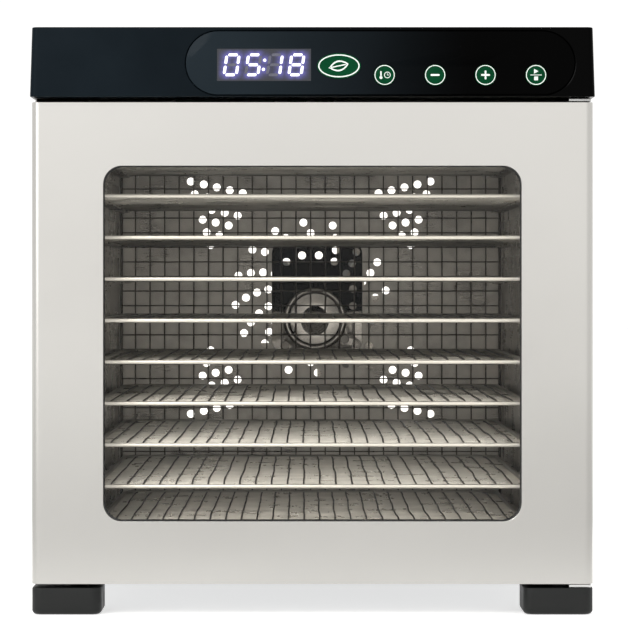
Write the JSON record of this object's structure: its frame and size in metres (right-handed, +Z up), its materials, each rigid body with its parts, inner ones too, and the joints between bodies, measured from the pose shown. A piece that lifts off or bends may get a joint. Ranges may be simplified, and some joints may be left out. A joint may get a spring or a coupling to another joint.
{
  "type": "food dehydrator",
  "caption": "Countertop cabinet food dehydrator with a glazed side-hinged door, wire trays, a rear fan behind a perforated baffle and a digital control head.",
  "frame": {"origin": "centre of the footprint, on the surface that the feet stand on", "axes": "+Z up, the door and the control head face -Y, +X is the hinge side"},
  "size_m": [0.4334, 0.508, 0.4515],
  "materials": {
    "casing_steel": "fine brushed, satin",
    "door_steel": "fine brushed, satin",
    "inner_steel": "bright rolled",
    "polished_steel": "polished",
    "zinc_steel": "zinc-plated, dull",
    "hinge_steel": "satin",
    "tray_chrome": "polished wire",
    "guard_wire": "polished wire",
    "screw_steel": "bright",
    "head_black": "gloss",
    "fascia_black": "high gloss",
    "key_green": "gloss",
    "badge_green": "gloss",
    "display_dark": "smoked, with lit digits",
    "board_green": "solder mask",
    "foot_black": "satin",
    "seal_rubber": "matt",
    "window_glass": "clear",
    "magnet_dark": "sintered",
    "bushing_nylon": "natural nylon",
    "fan_aluminium": "satin",
    "motor_dark": "dark",
    "heater_steel": "oxidised",
    "cutout_white": "glazed",
    "inlet_black": "moulded",
    "cable_grey": "sleeved"
  },
  "bodies": {
    "cabinet": {"side_panel_left": "casing_steel", "side_panel_right": "casing_steel", "top_panel": "casing_steel", "rear_cover": "casing_steel", "front_frame": "casing_steel", "liner_left": "inner_steel", "liner_right": "inner_steel", "liner_floor": "inner_steel", "liner_ceiling": "inner_steel", "liner_back": "inner_steel", "tray_runners": "inner_steel", "fan_baffle": "inner_steel", "fan_cover": "polished_steel", "base_pan": "zinc_steel", "motor_strap": "zinc_steel", "strike_plates": "zinc_steel", "baffle_standoffs": "zinc_steel", "hinge_brackets": "hinge_steel", "hinge_pins": "hinge_steel", "guard_grid": "guard_wire", "cabinet_screws": "screw_steel", "control_housing": "head_black", "control_fascia": "fascia_black", "badge": "badge_green", "display_module": "display_dark", "control_board": "board_green", "power_board": "board_green", "front_feet": "foot_black", "rear_feet": "foot_black", "fan_motor": "motor_dark", "heater_element": "heater_steel", "temperature_probe": "heater_steel", "thermal_cutout": "cutout_white", "power_inlet": "inlet_black", "wiring_harness": "cable_grey"},
    "door": {"door_skin": "door_steel", "door_inner_frame": "inner_steel", "window_glass": "window_glass", "window_gasket": "seal_rubber", "door_seal": "seal_rubber", "door_magnets": "magnet_dark", "hinge_bushings": "bushing_nylon", "door_screws": "screw_steel"},
    "fan": {"fan_blade": "fan_aluminium", "fan_shaft": "hinge_steel"},
    "tray_01": {"tray_01": "tray_chrome"},
    "tray_02": {"tray_02": "tray_chrome"},
    "tray_03": {"tray_03": "tray_chrome"},
    "tray_04": {"tray_04": "tray_chrome"},
    "tray_05": {"tray_05": "tray_chrome"},
    "tray_06": {"tray_06": "tray_chrome"},
    "tray_07": {"tray_07": "tray_chrome"},
    "tray_08": {"tray_08": "tray_chrome"},
    "tray_09": {"tray_09": "tray_chrome"},
    "tray_10": {"tray_10": "tray_chrome"},
    "key_mode": {"key_mode": "key_green"},
    "key_minus": {"key_minus": "key_green"},
    "key_plus": {"key_plus": "key_green"},
    "key_start": {"key_start": "key_green"}
  },
  "joints": [
    {"name": "door_hinge", "type": "hinge", "parent": "cabinet", "child": "door", "pos_m": [0.206, -0.2375, 0.2087], "axis": [0, 0, 1], "range_deg": [0, 120]},
    {"name": "fan_spin", "type": "hinge", "parent": "cabinet", "child": "fan", "pos_m": [0.004, 0.215, 0.222], "axis": [0, 1, 0], "continuous": true},
    {"name": "tray_01_slide", "type": "slide", "parent": "cabinet", "child": "tray_01", "axis": [0, -1, 0], "range_m": [0, 0.015]},
    {"name": "tray_02_slide", "type": "slide", "parent": "cabinet", "child": "tray_02", "axis": [0, -1, 0], "range_m": [0, 0.015]},
    {"name": "tray_03_slide", "type": "slide", "parent": "cabinet", "child": "tray_03", "axis": [0, -1, 0], "range_m": [0, 0.015]},
    {"name": "tray_04_slide", "type": "slide", "parent": "cabinet", "child": "tray_04", "axis": [0, -1, 0], "range_m": [0, 0.015]},
    {"name": "tray_05_slide", "type": "slide", "parent": "cabinet", "child": "tray_05", "axis": [0, -1, 0], "range_m": [0, 0.015]},
    {"name": "tray_06_slide", "type": "slide", "parent": "cabinet", "child": "tray_06", "axis": [0, -1, 0], "range_m": [0, 0.015]},
    {"name": "tray_07_slide", "type": "slide", "parent": "cabinet", "child": "tray_07", "axis": [0, -1, 0], "range_m": [0, 0.015]},
    {"name": "tray_08_slide", "type": "slide", "parent": "cabinet", "child": "tray_08", "axis": [0, -1, 0], "range_m": [0, 0.015]},
    {"name": "tray_09_slide", "type": "slide", "parent": "cabinet", "child": "tray_09", "axis": [0, -1, 0], "range_m": [0, 0.015]},
    {"name": "tray_10_slide", "type": "slide", "parent": "cabinet", "child": "tray_10", "axis": [0, -1, 0], "range_m": [0, 0.015]},
    {"name": "key_mode_press", "type": "slide", "parent": "cabinet", "child": "key_mode", "axis": [0, 0.9928, -0.1195], "range_m": [0, 0.0007], "stiffness_N_per_m": 1500},
    {"name": "key_minus_press", "type": "slide", "parent": "cabinet", "child": "key_minus", "axis": [0, 0.9928, -0.1195], "range_m": [0, 0.0007], "stiffness_N_per_m": 1500},
    {"name": "key_plus_press", "type": "slide", "parent": "cabinet", "child": "key_plus", "axis": [0, 0.9928, -0.1195], "range_m": [0, 0.0007], "stiffness_N_per_m": 1500},
    {"name": "key_start_press", "type": "slide", "parent": "cabinet", "child": "key_start", "axis": [0, 0.9928, -0.1195], "range_m": [0, 0.0007], "stiffness_N_per_m": 1500}
  ]
}
